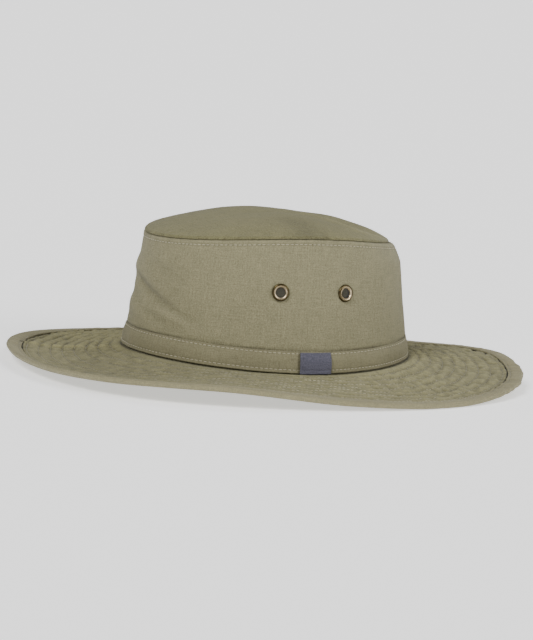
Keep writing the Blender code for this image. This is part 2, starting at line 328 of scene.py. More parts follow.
def oval_radius(turn, length, width, power=2.0):
    across = np.abs(np.sin(np.radians(turn)) / (width / 2)) ** power
    along = np.abs(np.cos(np.radians(turn)) / (length / 2)) ** power
    return (across + along) ** (-1 / power)


def around(turn, radius, height):
    angle = np.radians(turn)
    columns = np.broadcast_arrays(radius * np.sin(angle), -radius * np.cos(angle), height)
    return np.stack(columns, axis=-1)


def wander(spots, size, seed):
    """Smooth noise from about -1 to 1 over spots, with lumps of the given size."""
    scaled = spots / size + np.array((seed * 17.3, seed * 5.1, seed * 9.7))
    values = [noise.noise(spot) for spot in scaled.reshape(-1, 3).tolist()]
    return np.array(values).reshape(scaled.shape[:-1])


def lumps(spots, kind):
    """Uneven cloth over spots, of one of the kinds named above."""
    return kind.rise * wander(spots, kind.size, kind.seed)


def smooth(value, low, high):
    part = np.clip((value - low) / (high - low), 0, 1)
    return part * part * (3 - 2 * part)


def hollow(distance, width):
    """1 on a line and 0 away from it."""
    return np.exp(-(distance / width) ** 2)


def line(distance, kind):
    """A line in the cloth, at distances from the edge that it keeps to."""
    return kind.strength * hollow(distance - kind.place, kind.width)


def dent_depth(turn, share):
    depth = 0.0
    for row in DENT_ROWS:
        aside = ((turn - row.turn + 180) % 360 - 180) / row.half_turn
        above = (share - row.height - row.slant * aside) / row.half_height
        near = np.maximum(0.0, 1 - aside ** 2 - above ** 2)
        depth = depth + DENT_DEPTH * row.depth * near ** 2
    return depth


def foot_height(turn):
    return brim_level - FOOT_SWAY * (1 - np.cos(np.radians(2 * turn))) / 2


def seam_height(turn):
    middle = brim_level + BRIM_THICKNESS / 2 + CROWN_HEIGHT
    return middle - SEAM_SWAY * np.cos(np.radians(2 * turn))


def wall_radius(turn, share):
    foot = oval_radius(turn, HEAD_LENGTH + 2 * WALL_THICKNESS, HEAD_WIDTH + 2 * WALL_THICKNESS)
    tip = oval_radius(turn, TIP_LENGTH, TIP_WIDTH)
    over = np.maximum(0.0, (share - SHOULDER_START) / (1 - SHOULDER_START))
    rounding = 1 - np.sqrt(1 - np.minimum(1.0, over) ** 2)
    rounding = rounding + SHOULDER_EDGE * over * (1 - over)
    shoulder = SHOULDER_DEPTH * round_value(turn, SHOULDER_KNOTS) * rounding
    return foot + (tip - foot) * share - shoulder - dent_depth(turn, share)


def wall_foot(turn):
    return foot_height(turn) + BRIM_THICKNESS / 2 + CLEARANCE


def wall_top(turn):
    return seam_height(turn) - CLEARANCE


def segment_away(spots, row, reach):
    """Distance of spots in plan from the line between a row's two ends, and how far along it."""
    start = around(row.turn_a, reach(row.turn_a, row.share_a), 0.0)[:2]
    end = around(row.turn_b, reach(row.turn_b, row.share_b), 0.0)[:2]
    run = end - start
    flat = spots[..., :2] - start
    along = np.clip((flat @ run) / (run @ run), 0, 1)
    return np.linalg.norm(flat - along[..., None] * run, axis=-1), along


def eyelet_places():
    """Name, seat and outward direction of each eyelet, two on each side of the crown."""
    places = []
    for side, name in ((1, "left"), (-1, "right")):
        for along, end in ((-1, "front"), (1, "rear")):
            radius = wall_radius(90, EYELET_HEIGHT)
            turn = side * (90 + along * math.degrees(math.asin(EYELET_SPACING / 2 / radius)))
            seat = plain_wall(turn, EYELET_HEIGHT)
            across = plain_wall(turn + 1, EYELET_HEIGHT) - plain_wall(turn - 1, EYELET_HEIGHT)
            upward = plain_wall(turn, EYELET_HEIGHT + 0.02) - plain_wall(turn, EYELET_HEIGHT - 0.02)
            places.append((name + "_" + end, seat, across.cross(upward).normalized()))
    return places


def plain_wall(turn, share):
    foot = wall_foot(turn)
    return Vector(around(turn, wall_radius(turn, share), foot + (wall_top(turn) - foot) * share))


EYELETS = eyelet_places()
EYELET_SEATS = [np.array(seat) for _, seat, _ in EYELETS]


# Cloth surfaces: each gives points and the painted shading there, drawn from how far a spot is
# raised or sunk

def wall_face(turn, share, inward=0.0, detail=1.0):
    """The crown wall, with its seam allowance, its row of stitches, soft waves and creases, and
    their painted shading.
    """
    foot = wall_foot(turn)
    tall = wall_top(turn) - foot
    radius = wall_radius(turn, share)
    height = foot + tall * share
    spots = around(turn, radius, height)
    below = (1 - share) * tall
    up = share * tall
    over_band = up - BAND_HEIGHT
    allowance = ALLOWANCE_RISE * smooth(below, SEAM_ROW + ALLOWANCE_STEP, SEAM_ROW - ALLOWANCE_STEP)
    groove = line(below, SEAM_GROOVE)
    roll = SEAM_ROLL * np.maximum(0.0, 1 - below / SEAM_ROLL_HEIGHT) ** 2
    gather = lumps(around(turn, 0.08, below * 0.25), WALL_GATHER) * hollow(below, 0.0085)
    waves = lumps(spots * (1, 1, 0.7), WALL_WAVES) + lumps(spots, WALL_RIPPLES)
    dimple = 0.0
    for seat in EYELET_SEATS:
        dimple = dimple + DIMPLE_DEPTH * hollow(np.linalg.norm(spots - seat, axis=-1), DIMPLE_REACH)
    ease = EASE_RISE * smooth(over_band, 0.0001, 0.0018) * smooth(over_band, EASE_REACH, 0.0)
    lift = ease + allowance - groove - roll + gather + (waves - dimple) * smooth(below, 0.0, 0.006)
    # Painted shading: lighter on gathers, waves and the seam allowance, painted shade in the seam
    # groove and the rolled seam
    painted_shading_and_polish = (gather - 1.3 * groove - 0.8 * roll + 0.25 * waves + 0.3 * allowance) / WALL_SHADING_STEP
    # Painted shadow of the band's top edge, painted shade under the band, painted shade in the
    # dents and painted light on the bulges
    painted_shading_and_polish = painted_shading_and_polish - line(over_band, WALL_FOOT_SHADE)
    painted_shading_and_polish = painted_shading_and_polish - UNDER_BAND_SHADE * smooth(up, 0.004, 0.001)
    painted_shading_and_polish = painted_shading_and_polish - 0.5 * np.clip(dent_depth(turn, share) / DENT_DEPTH, -0.5, 1.0)
    sideways = (turn + 180) % 360 - 180
    for row in WALL_CREASES:
        under = (np.interp(sideways, row.turns, row.shares) - share) * tall
        begun = smooth(sideways, row.turns[0] - 14, row.turns[0] + 2)
        ended = smooth(sideways, row.turns[-1] + 8, row.turns[-1] - 12)
        folded = line(under, WALL_CREASE_RIDGE) - line(under, WALL_CREASE_GROOVE)
        crease = row.strength * begun * ended * folded
        lift = lift + WALL_CREASE_DEPTH * crease
        # Painted light on each crease's ridge and painted shade in its groove
        painted_shading_and_polish = painted_shading_and_polish + 0.9 * crease
    return around(turn, radius - inward + detail * lift, height), detail * painted_shading_and_polish


def tip_reach(turn, share):
    """Radius at a share of the way from the middle of the tip to its seam."""
    return wall_radius(turn, 1.0) * share


def tip_face(turn, share, under=0.0, detail=1.0):
    """The domed tip, rolled down into its seam with the wall, with painted shading on its folds,
    creases and seam edge.
    """
    middle = brim_level + BRIM_THICKNESS / 2 + CROWN_HEIGHT
    seam = seam_height(turn)
    radius = tip_reach(turn, share)
    spots = around(turn, radius, 0.0)
    dome = (DOME_RISE - TIP_THICKNESS) * (1 - share ** DOME_POWER)
    folds = 0.0
    for row in FOLD_ROWS:
        away, along = segment_away(spots, row, tip_reach)
        rise = FOLD_RISE * row.rise * (0.30 + 0.50 * smooth(along, 0.0, 0.5))
        folds = folds + rise * np.maximum(0.0, 1 - (away / (row.half_width * TIP_WIDTH)) ** 2) ** 2
    raised, sunk = 0.0, 0.0
    for row in TIP_CREASES:
        away, _ = segment_away(spots, row, tip_reach)
        near = row.rise * hollow(away, row.half_width)
        raised, sunk = np.maximum(raised, near), np.minimum(sunk, near)
    folds = folds + detail * (raised + sunk)
    height = middle + (seam - middle) * share + TIP_THICKNESS + dome + folds * (1 - share ** 6)
    inside = (1 - share) * tip_reach(turn, 1.0)
    edge = np.maximum(0.0, TIP_ROLL - inside)
    rolled = TIP_ROLL - np.sqrt(np.maximum(0.0, TIP_ROLL ** 2 - edge ** 2))
    gather = lumps(around(turn, 0.07, inside * 0.25), TIP_GATHER) * hollow(inside, 0.009)
    waves = lumps(spots, TIP_WAVES) + lumps(spots, TIP_RIPPLES)
    bumps = (gather + waves) * smooth(inside, 0.0, 0.004)
    # Painted shading: lighter on the gathers and waves, painted shade along the seam edge
    painted_shading_and_polish = (0.6 * gather + 0.25 * waves) / WALL_SHADING_STEP - line(inside, TIP_EDGE_SHADE)
    # Painted highlight on the raised creases and painted shade in the sunk hollow
    painted_shading_and_polish = painted_shading_and_polish + raised / TIP_CREST_HIGHLIGHT_STEP + sunk / TIP_HOLLOW_SHADE_STEP
    lift = np.where(under > 0, -under, -rolled) + detail * bumps
    return around(turn, radius, height + lift), detail * painted_shading_and_polish


def brim_plan(turn):
    """Radius of the band's foot, of the rim, and of the wall's inner face at the brim."""
    wall = wall_radius(turn, 0.0)
    rim = oval_radius(turn, RIM_LENGTH, RIM_WIDTH, RIM_POWER)
    return wall + CLEARANCE + BAND_THICKNESS, rim, wall - WALL_THICKNESS


def brim_height(turn, share):
    """Middle of the brim's thickness at a share of the way from the band to the rim."""
    drop = RIM_DROOP * np.minimum(1.0, round_value(turn, RIM_KNOTS))
    line = foot_height(turn) + (brim_level - drop - foot_height(turn)) * share
    bow = share * (1 - share) * (0.6 + 0.8 * share)
    full = SAG_PLACE * (1 - SAG_PLACE) * (0.6 + 0.8 * SAG_PLACE)
    line = line + CORNER_LIFT * hollow(turn - CORNER_TURN, CORNER_REACH) * share ** 2
    return line - BRIM_SAG * round_value(turn, SAG_KNOTS) * bow / full


def brim_relief(turn, part, radius, visible):
    """Quilting between the rows, puckers across them, and creases, as a lift in metres, and their
    painted shading.
    """
    spots = around(turn, radius, 0.0)
    foot = part * visible
    slack = round_value(turn, PUCKER_STRENGTH)
    row = (part - FIRST_ROW) / ROW_STEP
    nearest = np.clip(np.round(row), 0, BRIM_ROWS - 1)
    belly = np.abs(np.sin(math.pi * row)) ** 0.8
    past = (turn + 180) % 360 + 180 - np.interp(part, CREST_SHARES, CREST_TURNS)
    calm = smooth(past, *CALM_STARTS) * smooth(past, *CALM_ENDS)
    quilted = round_value(turn, QUILT_STRENGTH) * (1 - 0.80 * calm)
    puckered = slack * (1 - 0.55 * calm)
    quilt = QUILT_RISE * quilted * (belly - 0.35)
    groove = GROOVE_DEPTH * hollow((row - nearest) * ROW_STEP * visible, GROOVE_WIDTH)
    groove = groove * (0.35 + 0.65 * np.minimum(1.0, quilted))
    phase = PUCKER_WAVES * np.radians(turn) + 2 * math.pi * PUCKER_SLANT * part
    phase = phase + lumps(spots, PUCKER_DRIFT) + 1.1 * np.sin(2.1 * np.floor(row))
    ripple = np.abs(np.sin(phase / 2)) - 0.6
    loose = np.clip(0.55 + lumps(spots, PUCKER_PATCHES), 0.0, 1.4)
    settled = smooth(foot, 0.0010, 0.0060)
    pucker = PUCKER_RISE * settled * puckered * loose * (0.35 + 0.65 * belly) * ripple
    frown = (0.9 + 0.6 * puckered) * lumps(around(turn, 0.13, radius * 1.7), BRIM_FROWN)
    frown = settled * (frown + puckered * lumps(spots, BRIM_CRINKLE))
    gather = settled * (0.5 + slack) * hollow(foot, 0.010)
    gather = gather * lumps(around(turn, 0.10, 0.0), BRIM_GATHER)
    collar = slack * np.maximum(0.0, -np.cos(np.radians(turn + 15)))
    gather = gather + collar * (line(foot, INNER_COLLAR) + line(foot, OUTER_COLLAR))
    crest = hollow(np.radians(past) * radius, CREST_WIDTH) * smooth(part, 0.0, 0.1)
    crease = CREST_RISE * crest
    for fold in BRIM_CREASES:
        away, _ = segment_away(spots, fold, brim_reach)
        crease = crease + fold.rise * np.maximum(0.0, 1 - (away / fold.half_width) ** 2) ** 2
    tuck = line(foot, BRIM_FOOT_TUCK) + line(visible - foot, BRIM_EDGE_TUCK)
    fine = quilt + pucker + frown + gather - groove
    # Painted shade along the band's foot and along the hem's edge
    dark = line(foot, BRIM_FOOT_SHADE) + line(visible - foot, BRIM_EDGE_SHADE)
    # Painted shading: lighter on quilting and puckers, darker between them, with a painted
    # highlight along the crest
    painted_shading_and_polish = np.clip(fine / BRIM_SHADING_STEP, -1.25, 1.4) + 1.5 * crest - dark
    return fine + crease + lumps(spots, BRIM_WAVES) - tuck, painted_shading_and_polish


def brim_reach(turn, part):
    """Radius at a share of the way from the band to the hem."""
    foot, rim, _ = brim_plan(turn)
    return foot + (rim - foot - HEM_WIDTH - CLEARANCE) * part


def brim_face(turn, part, lift, detail=1.0):
    """The brim at a share of the way from the band to the hem; under 0 it runs below the crown."""
    foot, rim, inner = brim_plan(turn)
    visible = rim - foot - HEM_WIDTH - CLEARANCE
    out = np.maximum(part, 0.0)
    radius = np.where(part < 0, foot + part * (foot - inner), foot + visible * out)
    height = brim_height(turn, (radius - foot) / (rim - foot) * (part >= 0))
    raised, painted_shading_and_polish = brim_relief(turn, out, radius, visible)
    seen = detail * smooth(part, -0.4, 0.0)
    return around(turn, radius, height + lift + seen * raised), seen * painted_shading_and_polish


def hem_face(turn, inward, lift, detail=1.0):
    """The folded hem at a distance in from the rim. Its under side stays plain."""
    foot, rim, _ = brim_plan(turn)
    spots = around(turn, rim, 0.0)
    top = smooth(lift, 0.0, hem_half * 0.8) * detail
    stitched = line(HEM_WIDTH - inward, HEM_GROOVE)
    loose = 0.35 + round_value(turn, PUCKER_STRENGTH)
    crimp = lumps(around(turn, 0.165, 0.0), HEM_CRIMP)
    ripple = crimp * smooth(inward, 0.0, 0.004)
    soft = lumps(spots, HEM_WAVES)
    crimped = smooth(np.abs(turn - CRIMP_TURN), *CRIMP_FADE)
    ripples = (HEM_RIPPLE + CRIMP_RIPPLE * crimped) * loose * ripple
    raised = top * (ripples + HEM_SOFTNESS * soft - HEM_GROOVE_DEPTH * stitched)
    belly = HEM_BELLY * top * np.sin(math.pi * np.clip(inward / (HEM_WIDTH - HEM_ROW), 0, 1))
    belly = belly + HEM_EDGE_RISE * top * smooth(inward, HEM_WIDTH - HEM_ROW, HEM_WIDTH)
    wobble = HEM_WOBBLE * soft + (HEM_RIPPLE + CRIMP_WOBBLE * crimped) * loose * crimp
    wobble = wobble * smooth(inward, 0.006, 0.0)
    wobble = wobble + HEM_SOFTNESS * ripple * smooth(inward, 0.008, HEM_WIDTH)
    share = 1 - (inward + detail * wobble) / (rim - foot)
    # Painted shading: lighter on the hem's ripples and belly, painted shade in its row of stitches
    painted_shading_and_polish = (raised + belly) / BRIM_SHADING_STEP - 0.6 * top * stitched
    height = brim_height(turn, share) + lift + raised + belly
    return around(turn, foot + (rim - foot) * share, height), np.clip(painted_shading_and_polish, -1.5, 1.2)


def band_face(turn, height, outward, detail=1.0):
    """The band that covers the foot of the wall, at a height and a distance out from the wall."""
    foot = wall_foot(turn)
    share = height / (wall_top(turn) - foot)
    radius = wall_radius(turn, share)
    spots = around(turn, radius, foot + height)
    outer = smooth(outward, CLEARANCE, CLEARANCE + BAND_THICKNESS * 0.6) * detail
    rows = hollow(BAND_HEIGHT - BAND_TOP_ROW - height, 0.0007)
    rows = rows + hollow(height - BAND_FOOT_ROW, 0.0008)
    waves = lumps(spots * (1, 1, 1.6), BAND_WAVES) + lumps(spots, BAND_RIPPLES)
    belly = BAND_BELLY * np.sin(math.pi * np.clip(height / BAND_HEIGHT, 0, 1))
    belly = belly - BAND_TOP_TUCK * smooth(height, BAND_HEIGHT - 0.007, BAND_HEIGHT)
    lift = outer * (waves + belly - BAND_GROOVE * rows)
    # Painted shading: lighter on waves, painted shade in the stitch rows and along the top edge
    shade = waves / BAND_SHADING_STEP - 0.55 * rows - line(height - BAND_HEIGHT, BAND_TOP_SHADE)
    beside = np.abs(np.radians(turn - 90) * radius - LABEL_BACK) - LABEL_WIDTH / 2
    # Painted shadow on the band just beside the label's ends
    painted_shading_and_polish = outer * shade - line(beside, BESIDE_LABEL_SHADE)
    return around(turn, radius + outward + lift, foot + height), painted_shading_and_polish


# Modelling

def only(piece):
    """Leaves one piece selected and active, or none."""
    if bpy.context.object and bpy.context.object.mode != "OBJECT":
        bpy.ops.object.mode_set(mode="OBJECT")
    bpy.ops.object.select_all(action="DESELECT")
    if piece:
        piece.select_set(True)
        bpy.context.view_layer.objects.active = piece
    return piece


def edit(piece, *steps):
    """Runs edit-mode operators on the whole of a piece."""
    only(piece)
    bpy.ops.object.mode_set(mode="EDIT")
    bpy.ops.mesh.select_all(action="SELECT")
    for step, options in steps:
        getattr(bpy.ops.mesh, step)(**options)
    bpy.ops.object.mode_set(mode="OBJECT")
    return piece


def settle(piece):
    """Puts the object at the origin, unturned and unscaled, with its place in its mesh."""
    only(piece)
    bpy.ops.object.transform_apply(location=True, rotation=True, scale=True)
    return piece


def apply_modifiers(piece):
    only(piece)
    for modifier in list(piece.modifiers):
        bpy.ops.object.modifier_apply(modifier=modifier.name)
    return piece


def modify(piece, name, kind, **settings):
    """Adds a modifier with its settings."""
    made = piece.modifiers.new(name, kind)
    for setting, value in settings.items():
        setattr(made, setting, value)


def placed(name, data):
    """A curve, lamp or camera, put in the scene."""
    item = bpy.data.objects.new(name, data)
    bpy.context.scene.collection.objects.link(item)
    return item


def spun(name, stations, steps):
    """A section of so many points, spun round the hat's middle. Each point keeps its number."""
    only(None)
    bpy.ops.mesh.primitive_circle_add(vertices=stations, radius=0.01, fill_type="NOTHING",
                                      location=(0, -0.1, 0.02), rotation=(0, math.pi / 2, 0))
    piece = settle(bpy.context.object)
    piece.name = name
    number = piece.data.attributes.new("station", "INT", "POINT")
    number.data.foreach_set("value", list(range(stations)))
    modify(piece, "round_about", "SCREW", angle=2 * math.pi, steps=steps, render_steps=steps)
    return apply_modifiers(piece)


def press(piece, steps, surface):
    """Presses a spun ring to a surface: every point goes where its turn and number say, and keeps
    the surface's second value, which is painted shading on cloth and polish on brass.
    """
    mesh = piece.data
    count = len(mesh.vertices)
    places = np.empty(count * 3)
    mesh.vertices.foreach_get("co", places)
    places = places.reshape(-1, 3)
    number = np.empty(count, dtype=np.int32)
    mesh.attributes["station"].data.foreach_get("value", number)
    turn = np.degrees(np.arctan2(places[:, 0], -places[:, 1])) % 360
    turn = np.round(turn * steps / 360) * 360 / steps
    points, painted_shading_and_polish = surface(turn, number)
    mesh.vertices.foreach_set("co", np.ascontiguousarray(points, dtype=float).ravel())
    # Painted shading for cloth and polish for brass, kept on each point
    raised = mesh.attributes.new("painted_shading_and_polish", "FLOAT", "POINT")
    raised.data.foreach_set("value", np.ascontiguousarray(painted_shading_and_polish, dtype=np.float32))
    mesh.attributes.remove(mesh.attributes["station"])
    mesh.update()
    return piece


def finish(piece, material, node):
    """Closes a cloth or brass piece, smooths it, hangs it on the root and hides the part that it
    stands for.
    """
    edit(piece,
         ("remove_doubles", dict(threshold=2e-6)),
         ("normals_make_consistent", dict(inside=False)))
    piece.data.materials.clear()
    piece.data.materials.append(material)
    only(piece)
    bpy.ops.object.shade_smooth_by_angle(angle=math.radians(50))
    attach(piece, "root")
    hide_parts(node)
    return piece


def crown_panel(material):
    """The crown wall: an outer face from the brim to the seam, and a plain inner face."""
    outer = np.concatenate((np.linspace(0, 0.16, 4), np.linspace(0.175, 0.90, 46),
                            np.linspace(0.91, 1.0, 24)))
    inner = np.linspace(1.0, 0.0, 12)
    share = np.concatenate((outer, inner))
    inside = np.concatenate((np.zeros(len(outer)), np.full(len(inner), WALL_THICKNESS)))
    piece = spun("crown_panel", len(share), WALL_TURNS)
    press(piece, WALL_TURNS, lambda turn, number: wall_face(
        turn, share[number], inside[number], (inside[number] == 0) * 1.0))
    bore = LIP_DIAMETER / 2 + 2 * BARREL_WALL + 2 * CLEARANCE
    punches = []
    for _, seat, outward in EYELETS:
        only(None)
        bpy.ops.mesh.primitive_cylinder_add(
            vertices=48, radius=bore, depth=6 * WALL_THICKNESS, location=seat,
            rotation=outward.to_track_quat("Z", "Y").to_euler())
        punches.append(settle(bpy.context.object))
    only(punches[0])
    for punch in punches:
        punch.select_set(True)
    bpy.ops.object.join()
    modify(piece, "holes", "BOOLEAN", operation="DIFFERENCE", object=punches[0])
    apply_modifiers(piece)
    bpy.data.objects.remove(punches[0])
    return finish(piece, material, "crown_side")


def tip_panel(material):
    """The domed tip: from its middle out to the seam, round the edge and back below."""
    seam = 1 - 0.018 * np.linspace(1, 0, 9) ** 1.6
    top = np.concatenate((np.linspace(0, 0.9, 34), np.linspace(0.915, 0.975, 8), seam))
    below = np.array([0.99, 0.96, 0.9, 0.75, 0.5, 0.25, 0.0])
    share = np.concatenate((top, below))
    under = np.concatenate((np.zeros(len(top)), np.full(len(below), TIP_ROLL)))
    piece = spun("tip_panel", len(share), TIP_TURNS)
    press(piece, TIP_TURNS, lambda turn, number: tip_face(
        turn, share[number], under[number], (under[number] == 0) * 1.0))
    return finish(piece, material, "crown_top")


def brim_panel(material):
    """The quilted brim, with rings gathered close at each row of stitches."""
    parts = [-1.0, -0.5, -0.1, 0.0, 0.012, 0.03, 0.055]
    for row in range(BRIM_ROWS):
        middle = FIRST_ROW + row * ROW_STEP
        parts += [middle - 0.024, middle - 0.011, middle, middle + 0.011, middle + 0.024]
        if row < BRIM_ROWS - 1:
            parts += [middle + 0.042, middle + 0.060, middle + 0.078]
    parts = [part for part in parts if part < 0.975] + [0.982, 0.992, 1.0]
    top = np.array(parts)
    below = np.concatenate(([1.0], np.linspace(0.96, 0.0, 14), [-1.0]))
    part = np.concatenate((top, [1.0, 1.0], below))
    edge = TONGUE_THICKNESS / 2
    lift = np.concatenate((np.full(len(top), BRIM_THICKNESS / 2), [edge, -edge],
                           np.full(len(below), -BRIM_THICKNESS / 2)))
    detail = np.concatenate((np.ones(len(top)), [0.0, 0.0], np.full(len(below), 0.15)))
    tongue = [len(top), len(top) + 1]

    def surface(turn, number):
        points, painted_shading_and_polish = brim_face(turn, part[number], lift[number], detail[number])
        end = np.isin(number, tongue)
        foot, rim, _ = brim_plan(turn[end])
        share = 1 - (HEM_THICKNESS + CLEARANCE) / (rim - foot)
        points[end] = around(turn[end], foot + (rim - foot) * share,
                             brim_height(turn[end], share) + lift[number[end]])
        return points, painted_shading_and_polish

    piece = spun("brim_panel", len(part), BRIM_TURNS)
    press(piece, BRIM_TURNS, surface)
    return finish(piece, material, "brim")


def rim_hem(material):
    """The hem folded over the rim, with a soft round edge and a crisp inner edge."""
    inner = TONGUE_THICKNESS / 2 + CLEARANCE
    places = [(HEM_WIDTH, inner), (HEM_WIDTH, hem_half - 0.0005),
              (HEM_WIDTH - 0.0001, hem_half - 0.0002), (HEM_WIDTH - 0.0004, hem_half)]
    flat = np.linspace(HEM_WIDTH - 0.0010, hem_half + 0.0006, 11)
    places += [(inward, hem_half) for inward in flat]
    for step in range(11):
        angle = math.pi * step / 10
        places.append((hem_half - hem_half * math.sin(angle), hem_half * math.cos(angle)))
    flat = np.linspace(hem_half + 0.0010, HEM_WIDTH - 0.0004, 4)
    places += [(inward, -hem_half) for inward in flat]
    places += [(HEM_WIDTH, -hem_half + 0.0004), (HEM_WIDTH, -inner),
               (HEM_THICKNESS, -inner), (HEM_THICKNESS, inner)]
    inward, lift = np.array(places).T
    detail = np.ones(len(places))
    detail[-4:] = 0.0
    detail[0] = 0.0
    piece = spun("rim_hem", len(places), BRIM_TURNS)
    press(piece, BRIM_TURNS, lambda turn, number: hem_face(
        turn, inward[number], lift[number], detail[number]))
    return finish(piece, material, "brim_binding")


def band_strip(material):
    """The band, with rounded edges above and below."""
    outer = CLEARANCE + BAND_THICKNESS
    places = [(BAND_LIFT + 0.0006, CLEARANCE), (BAND_LIFT, outer - 0.0009),
              (BAND_LIFT + 0.0002, outer - 0.0003)]
    face = np.linspace(BAND_LIFT + 0.0006, BAND_HEIGHT - 0.0005, 24)
    places += [(height, outer) for height in face]
    places += [(BAND_HEIGHT - 0.0002, outer - 0.0002), (BAND_HEIGHT, outer - 0.0006),
               (BAND_HEIGHT, CLEARANCE), (BAND_HEIGHT / 2, CLEARANCE)]
    height, outward = np.array(places).T
    piece = spun("band_strip", len(places), WALL_TURNS)
    press(piece, WALL_TURNS, lambda turn, number: band_face(
        turn, height[number], outward[number]))
    return finish(piece, material, "hat_band")


def woven_label(material):
    """A plain woven tab laid over the band and sewn down at its ends."""
    across, tall = 44, 28
    only(None)
    bpy.ops.mesh.primitive_grid_add(x_subdivisions=across, y_subdivisions=tall, size=1.0)
    piece = bpy.context.object
    piece.name = "woven_label"
    mesh = piece.data
    spots = np.array([corner.co[:2] for corner in mesh.vertices]) + 0.5
    radius = oval_radius(90, HEAD_LENGTH, HEAD_WIDTH)
    middle = 90 + math.degrees(LABEL_BACK / radius)
    reach = math.degrees(LABEL_WIDTH / 2 / radius)
    low, high = LABEL_MARGIN, BAND_HEIGHT - LABEL_MARGIN
    turn = middle - reach + 2 * reach * spots[:, 0]
    height = low + (high - low) * spots[:, 1]
    outward = CLEARANCE + BAND_THICKNESS + CLEARANCE + 0.0001
    belly = LABEL_BELLY * np.sin(math.pi * spots[:, 1])
    belly = belly + LABEL_FRONT_CURL * hollow(spots[:, 0], 0.10)
    belly = belly + LABEL_BACK_CURL * hollow(spots[:, 0] - 1, 0.08)
    points, _ = band_face(turn, height, outward + belly)
    mesh.vertices.foreach_set("co", points.ravel())
    mesh.update()
    modify(piece, "cloth", "SOLIDIFY", thickness=LABEL_THICKNESS, offset=1.0,
           use_even_offset=True)
    modify(piece, "edge", "BEVEL", width=0.00025, segments=3, limit_method="ANGLE")
    apply_modifiers(piece)
    return finish(piece, material, "side_label")


def seated(piece, seat, outward):
    """Moves a piece made round the origin to a seat, facing outward."""
    turned = outward.to_track_quat("Z", "Y").to_matrix().to_4x4()
    piece.data.transform(Matrix.Translation(seat) @ turned)
    return piece


def eyelet_ring(name, seat, outward, material):
    """A pressed brass ring: domed flange, rolled lip, barrel and washer, turned in one."""
    flange, lip = EYELET_DIAMETER / 2, LIP_DIAMETER / 2
    washer, crest_radius = WASHER_DIAMETER / 2, EYELET_CREST_RADIUS
    bore = MESH_DIAMETER / 2 + CLEARANCE
    barrel = bore + BARREL_WALL
    back = -WALL_THICKNESS - EYELET_SEAT
    low, crest = CLEARANCE + 0.0001, CLEARANCE + EYELET_CROWN
    rows = [(flange - 0.0002, CLEARANCE, 0.0), (flange, low, 0.0)]
    for step in range(1, 9):
        angle = math.pi / 2 * step / 8
        rows.append((crest_radius + (flange - crest_radius) * math.cos(angle),
                     low + (crest - low) * math.sin(angle), step / 8 * 0.35))
    for step in range(1, 9):
        angle = math.pi / 2 * step / 8
        drop = (crest - CLEARANCE - 0.0002) * (1 - math.cos(angle))
        rows.append((crest_radius - (crest_radius - lip) * math.sin(angle),
                     crest - drop, 0.35 + step / 8 * 0.65))
    rows += [(lip, CLEARANCE, 0.4), (lip + 0.0002, 0.0002, 0.0), (bore, 0.0002, 0.0),
             (bore, back - WASHER_THICKNESS, 0.0), (washer, back - WASHER_THICKNESS, 0.2),
             (washer, back, 0.2), (barrel, back, 0.0), (barrel, CLEARANCE, 0.0)]
    radius, height, polish = np.array(rows).T
    piece = spun("eyelet_ring_" + name, len(rows), EYELET_TURNS)

    def surface(turn, number):
        return around(turn, radius[number], height[number]), polish[number]

    press(piece, EYELET_TURNS, surface)
    seated(piece, seat, outward)
    return finish(piece, material, "eyelet_" + name)


def wire_mesh(name, seat, outward, material):
    """A disc of fine woven wire, held behind the lip of an eyelet."""
    only(None)
    bpy.ops.mesh.primitive_grid_add(x_subdivisions=WIRE_CELLS, y_subdivisions=WIRE_CELLS,
                                    size=MESH_DIAMETER)
    piece = bpy.context.object
    piece.name = "wire_mesh_" + name
    step = MESH_DIAMETER / WIRE_CELLS
    for corner in piece.data.vertices:
        column = round((corner.co.x + MESH_DIAMETER / 2) / step)
        row = round((corner.co.y + MESH_DIAMETER / 2) / step)
        corner.co.z = WIRE_WAVE if (column + row) % 2 else -WIRE_WAVE
        flat = Vector((corner.co.x, corner.co.y))
        over = flat.length / (MESH_DIAMETER / 2 - 0.0001)
        if over > 1:
            corner.co.x, corner.co.y = flat / over
    modify(piece, "wire", "WIREFRAME", thickness=WIRE_WIDTH, use_even_offset=False)
    apply_modifiers(piece)
    seated(piece, seat - outward * (CLEARANCE + MESH_THICKNESS) / 2, outward)
    return finish(piece, material, "vent_mesh_" + name)


def stitch_row(path):
    """One row of thread: a single stitch repeated by an array along a closed path."""
    only(None)
    curve = bpy.data.curves.new("stitch_line", "CURVE")
    curve.dimensions = "3D"
    curve.twist_mode = "Z_UP"
    spline = curve.splines.new("POLY")
    spline.points.add(len(path) - 1)
    spline.points.foreach_set("co", np.column_stack((path, np.ones(len(path)))).ravel())
    spline.use_cyclic_u = True
    guide = placed("stitch_line", curve)
    length = float(np.linalg.norm(np.roll(path, -1, axis=0) - path, axis=1).sum())
    count = round(length / STITCH_PITCH)
    bpy.ops.mesh.primitive_uv_sphere_add(segments=6, ring_count=6, radius=0.5,
                                         rotation=(0, math.pi / 2, 0), location=(0, 0, 0))
    stitch = settle(bpy.context.object)
    stitch.scale = (STITCH_LENGTH, STITCH_WIDTH, STITCH_WIDTH)
    stitch.location = (STITCH_PITCH / 2, 0, 0)
    settle(stitch)
    modify(stitch, "repeat", "ARRAY", fit_type="FIXED_COUNT", count=count,
           use_relative_offset=False, use_constant_offset=True,
           constant_offset_displace=(length / count, 0, 0))
    modify(stitch, "follow", "CURVE", object=guide, deform_axis="POS_X")
    apply_modifiers(stitch)
    bpy.data.objects.remove(guide)
    return stitch


